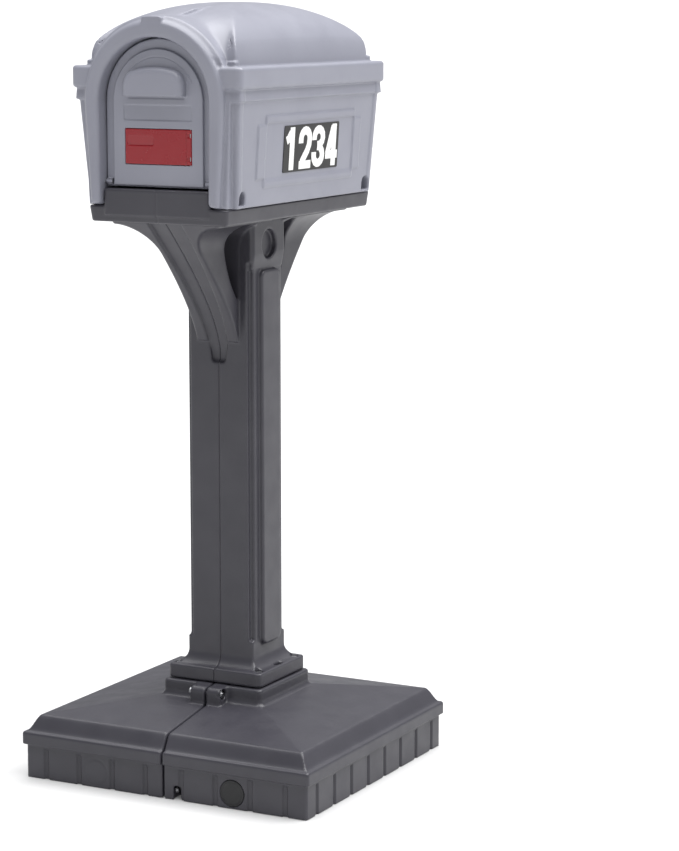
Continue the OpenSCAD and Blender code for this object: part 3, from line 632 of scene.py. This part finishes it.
TRAY_LOW, TRAY_HIGH = span("platform")
TRAY_W = TRAY_HIGH[0]
TRAY_D = 268.5
TRAY_TOP = 1050.0
SILL_W = 106.0
SILL_D = TRAY_HIGH[1]
SILL_TOP = TRAY_HIGH[2]


def platform_shape(x, y, z):
    """The platform: a drafted tray with a centre groove in front, and the sill on it."""
    wide, deep = np.abs(x), np.abs(y)
    draft = 3.0 * np.clip((TRAY_TOP - 4 - z) / 26, 0, 1)
    tray = both(wide - TRAY_W + draft, deep - TRAY_D + draft, 9)
    tray = both(tray, np.maximum(TRAY_LOW[2] - z, z - TRAY_TOP), 3.5)
    sill = both(both(wide - SILL_W, deep - SILL_D + 1, 6), z - SILL_TOP, 4)
    sill = np.maximum(sill, TRAY_LOW[2] + 12 - z)
    solid = either(tray, sill, 2.5)
    return cut(solid, np.maximum(wide - 1.0, -1.0 - solid), 1.2)


platform = skin(platform_shape, TRAY_LOW, TRAY_HIGH, 2.6)
make_piece("platform_tray", platform, charcoal, "stand", "charcoal_plastic", "platform")
dress(zinc, "platform_screws")

# ---------------------------------------------------------------------------------------------
# Housing: one light grey polyethylene shell. Drafted walls under a double eaves band, a roof that
# blends from the arch in front to an ellipse at the sides, and a bead round each arched end.

# Moulded polyethylene again, cool light grey and a little glossier.
light_grey = clouded_satin("light_grey_polyethylene", "#8B8C97", "#868792", 0.36)

BOX_W = 158.0
BOX_D = 260.0
BOX_FOOT = 1050.0
EAVES_Z = 1231.0
EAVES_MID = 1252.0
EAVES_TOP = 1290.0
BAND_W = 169.5
BAND_D = 271.5
DRAFT = 12.0
ARCH_Z = 1230.0
ARCH_IN = 109.5
ARCH_OUT = 138.0
ARCH_Y = 281.0
RING_Y = 243.0
RING_BACK = 237.0
RING_R = 97.5
WALL = 5.0
HINGE_CLEAR = 1110.0
NOTCH_Y = 230.0
NOTCH_R = 12.0
MOULDING_Y = 5.0
MOULDING_Z = 1143.0
ROOF_TOP = 1398.0
ROOF_W = BOX_W - 12
ROOF_D = BOX_D - 10
ROOF_EDGE = EAVES_TOP + 8
STEP_OUT = 146.0
STEP_Y = 266.0
STRIP_HALF = 20.0
STRIP_FROM = 105.0


def arch(x, z, r, foot):
    """Distance to a round-headed doorway outline on legs that start at height foot."""
    top = np.hypot(x, np.maximum(z - ARCH_Z, 0)) - r
    return np.maximum(top, foot - z)


def roof_height(wide, deep, inset):
    """Height of the roof over the plan.

    Across at mid-length it is edge + rise sqrt(1 - u^2.2), u the way out to the side. The ends
    have the arch's own circle, run out along its tangent, and t^1.6 leads from one to the other.
    """
    u = np.clip(wide / (ROOF_W + 1 - inset), 0, 0.9995)
    v = np.clip(deep / (ROOF_D - inset), 0, 1)
    ridge = ROOF_EDGE + (ROOF_TOP - ROOF_EDGE - inset) * np.sqrt(1 - u**2.2)
    ridge = ridge - 20 * v**3 * (1 - u**2.2)
    r = ARCH_OUT + 1 - inset
    haunch = 0.6 * r - 4 / 3 * (wide - 0.8 * r)
    round_head = np.where(wide < 0.8 * r, np.sqrt(np.maximum(r * r - wide**2, 0)), haunch)
    round_head = ARCH_Z + round_head
    round_head = np.maximum(round_head, EAVES_TOP + 1)
    t = np.clip((v - u) / (1 - u), 0, 1)
    return ridge + (round_head - ridge) * t**1.6


def wall_inset(z):
    """How far the drafted wall has come in at height z."""
    return DRAFT * np.clip((EAVES_Z - z) / (EAVES_Z - BOX_FOOT), 0, 1.02)


def walls_shape(x, y, z):
    """Everything of the housing, outside and inside."""
    wide, deep = np.abs(x), np.abs(y)
    draft = wall_inset(z)
    low_band = 5 * ease((z - EAVES_Z + 1) / 3) * (1 - 0.3 * np.clip((z - EAVES_Z) / 21, 0, 1))
    pilaster = 2 * ease((deep - BOX_D + draft + 17) / 3)
    side = wide - BOX_W + draft - low_band - pilaster
    box = both(side, deep - BOX_D + draft - low_band, 5)
    box = both(box, np.maximum(BOX_FOOT - z, z - EAVES_MID - 3), 2)
    band = both(wide - BAND_W, deep - BAND_D, 12)
    band = both(band, np.maximum(EAVES_MID - z, z - EAVES_TOP), 6)
    solid = either(box, band, 1.5)
    roof = both(wide - ROOF_W, deep - ROOF_D, 16)
    roof = both(roof, 0.62 * (z - roof_height(wide, deep, 0)), 10)
    roof = np.maximum(roof, EAVES_TOP - 12 - z)
    solid = either(solid, roof, 3)
    stud = brick((wide, deep, z), (ROOF_W - 6, ROOF_D - 6, EAVES_TOP), (8, 8, 10), 3)
    solid = either(solid, stud, 1.5)
    taper = np.clip((ARCH_Z - z) / 180, 0, 1)
    step = both(arch(x, z, STEP_OUT - 8 * taper, BOX_FOOT + 1), deep - STEP_Y, 3)
    solid = either(solid, step, 2.5)
    bead = both(arch(x, z, ARCH_OUT - 11 * taper, BOX_FOOT + 3), deep - ARCH_Y, 9)
    solid = either(solid, bead, 2.5 + 10 * ease((z - EAVES_TOP - 4) / 14))
    rise = 6 * np.clip((deep - STRIP_FROM) / 60, 0, 1)
    strip = both(wide - STRIP_HALF, z - roof_height(wide, deep, 0) - rise, 2.5)
    strip = np.maximum(strip, EAVES_TOP + 40 - z)
    strip = both(strip, np.maximum(deep - ARCH_Y + 1, STRIP_FROM - deep), 2)
    solid = either(solid, strip, 2)
    solid = side_moulding(solid, wide, y, z)
    attic = 30 * ease((EAVES_TOP - WALL - 2 - z) / 3)
    roomy = np.maximum(wide - BOX_W + draft + WALL, deep - RING_BACK)
    roomy = np.maximum(roomy, both(wide - ROOF_W, deep - ROOF_D, 16) + WALL - attic)
    room = both(roomy, z - np.maximum(EAVES_TOP - WALL - 2, roof_height(wide, deep, WALL)), 4)
    block = brick((wide, deep, z), (150, NOTCH_Y, BOX_FOOT), (26, NOTCH_R + 4, 36), 3)
    solid = cut(solid, np.maximum(room, -block), 1)
    inner = ARCH_IN - 2 * taper
    mouth = np.maximum(arch(x, z, inner, BOX_FOOT - 20), RING_Y - deep)
    ring = arch(x, z, RING_R, BOX_FOOT - 20)
    sill = np.maximum(wide - SILL_W - 0.4, z - SILL_TOP - 0.4)
    hinge = np.maximum(np.maximum(wide - inner, z - HINGE_CLEAR), y)
    solid = cut(solid, mouth, 8)
    solid = cut(solid, np.minimum(np.minimum(ring, sill), hinge), 1)
    side_cut = np.abs(deep - NOTCH_Y) - NOTCH_R
    arched = np.hypot(deep - NOTCH_Y, np.maximum(z - BOX_FOOT - 17, 0)) - NOTCH_R
    notch = both(np.maximum(arched, 129 - wide), BOX_FOOT + 5 - z, 1)
    return cut(solid, np.maximum(notch, side_cut), 2)


def side_moulding(solid, wide, y, z):
    """The wall with its moulded panel: a raised frame with eared corners, sunk in the middle."""
    face = wide - BOX_W + wall_inset(z)
    along, up = np.abs(y - MOULDING_Y), np.abs(z - MOULDING_Z)
    frame_edge = both(along - 192, up - 62, 2)
    frame_edge = cut(frame_edge, both(166 - along, 46 - up, 1.5), 2)
    frame_edge = np.minimum(frame_edge, both(along - 192, up - 46, 1.5))
    plate = both(frame_edge, face - 2.4, 1.2)
    sunk = both(both(along - 162, up - 49, 2), -face - 0.2, 0.8)
    solid = either(solid, np.maximum(plate, -face - 4), 1.2)
    return cut(solid, sunk, 1.6)


def vertex_normals(vertices, quads):
    """Unit normals of the vertices, each the sum of the faces round it."""
    a, b, c, d = (vertices[quads[:, k]] for k in range(4))
    face = np.cross(c - a, d - b)
    total = np.zeros_like(vertices)
    for k in range(4):
        for axis in range(3):
            total[:, axis] += np.bincount(quads[:, k], face[:, axis], len(vertices))
    return total / np.maximum(np.linalg.norm(total, axis=1, keepdims=True), 1e-9)


shell_vertices, shell_quads = skin(
    walls_shape, (-BAND_W, -ARCH_Y, BOX_FOOT), (BAND_W, ARCH_Y, ROOF_TOP), 2.8
)
shell_normals = vertex_normals(shell_vertices, shell_quads)
above = shell_vertices[shell_quads[:, 0], 2] > EAVES_MID
for name, chosen in (("housing_walls", ~above), ("housing_roof", above)):
    used, quads = np.unique(shell_quads[chosen].ravel(), return_inverse=True)
    shell = make_piece(name, (shell_vertices[used], quads.reshape(-1, 4)), light_grey, "stand",
                       "housing_plastic", "housing_shell")
    shell.data.normals_split_custom_set_from_vertices(shell_normals[used])
dress(zinc, "housing_screws")

# ---------------------------------------------------------------------------------------------
# Back: the arched end is closed by a fixed grey panel, screwed to the ring from outside.


def rear_shape(x, y, z):
    """The rear panel: an arched plate with a raised field and a hollow inner face."""
    plate = both(arch(x, z, REAR_HIGH[0], REAR_LOW[2]), y - RING_Y - 12, 3)
    plate = np.maximum(plate, RING_Y + 0.1 - y)
    field = both(arch(x, z, REAR_HIGH[0] - 17, REAR_LOW[2] + 17), y - REAR_HIGH[1], 3)
    solid = either(plate, np.maximum(field, RING_Y + 4 - y), 2.5)
    hollow = both(arch(x, z, REAR_HIGH[0] - 18, REAR_LOW[2] + 14), y - RING_Y - 8, 2)
    return cut(solid, hollow, 1)


REAR_LOW, REAR_HIGH = span("rear_panel")
make_piece("rear_panel_moulding", skin(rear_shape, REAR_LOW, REAR_HIGH, 2.4), light_grey, "stand",
           "housing_plastic", "rear_panel")
dress(zinc, "rear_panel_screws")

# ---------------------------------------------------------------------------------------------
# Door: an arched grey polyethylene flap hinged at the foot on two pins, with a raised field, a
# hooded finger pull, a plain sunk strip and a sunk seat for the flag.

DOOR_LOW, DOOR_HIGH = span("door")
DOOR_R = DOOR_HIGH[0]
DOOR_BACK = -243.3
DOOR_FACE = -255.3
FIELD_FACE = -261.3
HANDLE_FACE = DOOR_LOW[1]
HANDLE_Z = 1239.0
HANDLE_TOP = 1287.0
HINGE_Y = -256.3
HINGE_Z = 1092.0
EAR_X = 99.0
MAGNET_Z = 1328.5
FIELD_R = 89.5
LINE_R = 76.0
LINE_FOOT = 1262.0
HOOD_X = -3.0
HOOD_HALF = 61.0
CROWN_R = 170.0
BLANK_Z = 1211.0
FLAG_LOW, FLAG_HIGH = span("flag")
FLAG_Z = (FLAG_LOW[2] + FLAG_HIGH[2]) / 2


def door_shape(x, y, z):
    """The door, closed: -y is its face."""
    plate = both(arch(x, z, DOOR_R, DOOR_LOW[2]), np.maximum(DOOR_FACE - y, y - DOOR_BACK), 2)
    field = both(arch(x, z, FIELD_R, DOOR_LOW[2] + 3), FIELD_FACE - y, 1.8)
    solid = either(plate, np.maximum(field, y - DOOR_FACE - 3), 1.5)
    line = np.maximum(np.abs(arch(x, z, LINE_R, BOX_FOOT)) - 0.7, LINE_FOOT - z)
    solid = cut(solid, np.maximum(line, y - FIELD_FACE - 0.8), 0.8)
    hollow = both(arch(x, z, DOOR_R - 12, 1103.0), DOOR_FACE + 4 - y, 2)
    solid = cut(solid, hollow, 1)
    boss = both(np.hypot(x, z - MAGNET_Z) - 10, np.maximum(DOOR_FACE + 2 - y, y - DOOR_BACK), 1)
    solid = either(solid, boss, 1)
    solid = cut(solid, np.maximum(np.hypot(x, z - MAGNET_Z) - 7, DOOR_BACK - 1.5 - y), 0.3)
    crown = np.hypot(x, z - HANDLE_TOP + CROWN_R) - CROWN_R
    hood = both(both(np.abs(x - HOOD_X) - HOOD_HALF, crown - 2, 20), HANDLE_FACE - y, 11)
    hood = both(np.maximum(hood, y - DOOR_FACE - 1), HANDLE_Z - z, 3)
    solid = either(solid, hood, 2)
    grip = both(both(np.abs(x - HOOD_X) - HOOD_HALF + 6, crown + 4, 14), HANDLE_FACE + 4 - y, 8)
    solid = cut(solid, np.maximum(grip, np.maximum(y - FIELD_FACE, HANDLE_Z - 3 - z)), 2)
    strip = both(np.abs(x) - 68, np.abs(z - BLANK_Z) - 13.5, 3)
    solid = cut(solid, both(strip, y - FIELD_FACE - 1.6, 0.6), 0.8)
    seat = both(np.maximum(FLAG_LOW[0] - 1 - x, x - FLAG_HIGH[0] - 0.6),
                np.abs(z - FLAG_Z) - (FLAG_HIGH[2] - FLAG_LOW[2]) / 2 - 1, 1)
    solid = cut(solid, np.maximum(seat, y - FLAG_HIGH[1] - 0.5), 1)
    pin = np.hypot(y - HINGE_Y, z - HINGE_Z) - 4.3
    ears = both(np.hypot(y - HINGE_Y, z - HINGE_Z) - 6, np.abs(np.abs(x) - EAR_X) - 6, 1.5)
    solid = either(solid, ears, 2)
    return np.maximum(solid, -np.maximum(pin, DOOR_R - 16 - np.abs(x)))


make_piece("door_moulding", skin(door_shape, DOOR_LOW, DOOR_HIGH, 1.5), light_grey, "door",
           "door_plastic", "door")

# Sintered ferrite: dark grey, dull and faintly grainy.
ferrite = clouded_satin("sintered_ferrite", "#2A2A2C", "#242426", 0.55)
dress(ferrite, "door_magnet")
dress(zinc, "door_hinge_pins", "door_strike")

# ---------------------------------------------------------------------------------------------
# Signal flag: a glossy red injection-moulded leaf in the door, hinged upright at its right edge,
# with a scoop for the fingertip and a rib across the scoop's foot.


def red_plastic():
    """Injection-moulded ABS, IOR 1.53: a smooth even red with a clear gloss."""
    material = bpy.data.materials.new("red_abs_plastic")
    material.use_nodes = True
    tree = material.node_tree
    shader = tree.nodes["Principled BSDF"]
    shader.inputs["Base Color"].default_value = linear("#8A0012")
    shader.inputs["IOR"].default_value = 1.53
    where = add_node(tree, "TexCoord").outputs["Object"]
    handling = add_node(tree, "TexNoise", {"Vector": where, "Scale": 1 / 0.018, "Detail": 4.0})
    gloss = add_node(
        tree, "MapRange", {"Value": handling.outputs["Fac"], "To Min": 0.18, "To Max": 0.34}
    )
    tree.links.new(gloss.outputs["Result"], shader.inputs["Roughness"])
    return material


BARREL_R = 2.8
BARREL_X = FLAG_HIGH[0] - BARREL_R
BARREL_Y = FLAG_HIGH[1] - BARREL_R


def flag_shape(x, y, z):
    """The flag lying flat in the door: -y is its face."""
    half = (FLAG_HIGH[2] - FLAG_LOW[2]) / 2
    leaf_front = FLAG_LOW[1]
    leaf = both(both(np.maximum(FLAG_LOW[0] - x, x - BARREL_X), np.abs(z - FLAG_Z) - half, 1.5),
                np.maximum(leaf_front - y, y - leaf_front - 3.6), 0.6)
    barrel = both(np.hypot(x - BARREL_X, y - BARREL_Y) - BARREL_R, np.abs(z - FLAG_Z) - half, 0.4)
    solid = either(leaf, barrel, 0.6)
    gap = both(np.abs(np.abs(z - FLAG_Z) - 20) - 3.5, BARREL_X - 5.5 - x, 0.5)
    solid = cut(solid, np.maximum(gap, y - leaf_front - 1.2), 0.4)
    line = np.maximum(np.abs(x - BARREL_X + 7) - 0.8, y - leaf_front - 0.7)
    solid = cut(solid, line, 0.4)
    scoop = both(np.maximum(FLAG_LOW[0] + 4 - x, x - FLAG_LOW[0] - 56),
                 np.maximum(FLAG_Z + 1.5 - z, z - FLAG_Z - 18), 4)
    depth = leaf_front + 1.8 - 1.5 * np.clip((z - FLAG_Z - 2) / 16, 0, 1)
    solid = cut(solid, both(scoop, y - depth, 0.5), 0.6)
    bore = np.hypot(x - BARREL_X, y - BARREL_Y) - 1.65
    return np.maximum(solid, -bore)


make_piece("signal_flag", skin(flag_shape, FLAG_LOW, FLAG_HIGH, 0.8), red_plastic(), "flag",
           "red_plastic", "flag")
dress(zinc, "flag_hinge_pin")

# ---------------------------------------------------------------------------------------------
# House number: a black vinyl label on the right-hand wall, with white cut-vinyl numerals.


def cut_vinyl(name, colour, roughness):
    """Calendered vinyl film, IOR 1.53: even colour, a soft sheen with slight ripple."""
    material = bpy.data.materials.new(name)
    material.use_nodes = True
    tree = material.node_tree
    shader = tree.nodes["Principled BSDF"]
    shader.inputs["Base Color"].default_value = linear(colour)
    shader.inputs["IOR"].default_value = 1.53
    where = add_node(tree, "TexCoord").outputs["Object"]
    ripple = add_node(tree, "TexNoise", {"Vector": where, "Scale": 1 / 0.02, "Detail": 2.0})
    gloss = add_node(
        tree,
        "MapRange",
        {
            "Value": ripple.outputs["Fac"],
            "To Min": roughness - 0.06,
            "To Max": roughness + 0.08,
        },
    )
    tree.links.new(gloss.outputs["Result"], shader.inputs["Roughness"])
    return material


dress(cut_vinyl("black_label_vinyl", "#110F0F", 0.45), "number_label")

LABEL_LOW, LABEL_HIGH = span("number_label")
DIGITS_LOW = span("number_digits")[0]
INDENT = 3.5
FILM = 0.4


def turn_points(centre, radius, start, end, count=9):
    """Points round an arc, from one angle to another in degrees."""
    a = np.radians(np.linspace(start, end, count))
    return [(centre[0] + radius * math.cos(t), centre[1] + radius * math.sin(t)) for t in a]


STROKE = 6.5
DIGIT_W = 38.0
DIGIT_H = 66.0
NUMERALS = [
    [[(20, 0), (20, DIGIT_H)], [(4, 46), (10, 49), (17, 58)]],
    [
        [(6.5, 40), *turn_points((19, 47), 12.5, 180, 0), (30.5, 37), (25, 27), (12, 12), (9, 4)],
        [(3, 6), (37, 6)],
    ],
    [
        [(6.5, 43), *turn_points((19, 47), 12.5, 180, -30), (24, 35.5), (16, 34.5)],
        [(16, 33), (24, 32), *turn_points((19, 19), 12.5, 30, -180), (6.5, 24)],
    ],
    [[(26, 0), (26, DIGIT_H)], [(23, 62), (8, 20)], [(2, 18), (37, 18)]],
]


def ribbon(points, half, thick):
    """A flat strip along a line, as a closed prism: the line moved half to each side of itself,
    square to its direction, at depths 0 and thick."""
    points = np.array(points, float)
    along = np.gradient(points, axis=0)
    along /= np.linalg.norm(along, axis=1, keepdims=True)
    side = np.stack([-along[:, 1], along[:, 0]], 1) * half
    left, right = points + side, points - side
    ring = [
        np.column_stack([edge, np.full(len(points), t)])
        for edge, t in ((left, 0), (right, 0), (right, thick), (left, thick))
    ]
    n = len(points)
    step = np.arange(n - 1)
    faces = [
        np.column_stack([a * n + step, b * n + step, b * n + step + 1, a * n + step + 1])
        for a, b in ((0, 1), (1, 2), (2, 3), (3, 0))
    ]
    caps = [[0, 3 * n, 2 * n, n], [n - 1, 2 * n - 1, 3 * n - 1, 4 * n - 1]]
    return np.concatenate(ring), np.concatenate([*faces, caps])[:, ::-1]


def numerals_on_wall():
    """The numerals 1 2 3 4 filling the label's face and leaning with the wall behind it."""
    lean = math.atan(DRAFT / (EAVES_Z - BOX_FOOT - 4))
    pitch = (LABEL_HIGH[1] - LABEL_LOW[1] - 5) / len(NUMERALS)
    across = (pitch - 1.5) / DIGIT_W
    height = (LABEL_HIGH[2] - LABEL_LOW[2] - 2 * INDENT) / math.cos(lean) / DIGIT_H
    strips = []
    for place, lines in enumerate(NUMERALS):
        for layer, line in enumerate(lines):
            vertices, quads = ribbon(line, STROKE, FILM + 0.06 * layer)
            vertices = vertices * np.array([across, 1, 1]) + np.array([place * pitch, 0, 0])
            strips.append((vertices, quads))
    vertices, quads = joined(*strips)
    u, v, t = vertices.T
    v = np.clip(v, 0, DIGIT_H) * height
    up = LABEL_LOW[2] + INDENT - DIGITS_LOW[2] + v * math.cos(lean)
    x = DIGITS_LOW[0] + up * math.tan(lean) + t
    return np.column_stack([x, LABEL_LOW[1] + INDENT + u, DIGITS_LOW[2] + up]), quads


white_vinyl = cut_vinyl("white_cut_vinyl", "#F2F2F0", 0.42)
numerals = make_piece("house_numerals", numerals_on_wall(), white_vinyl, "stand", "digit_vinyl",
                      "number_digits")
numerals.data.polygons.foreach_set("use_smooth", np.zeros(len(numerals.data.polygons), bool))
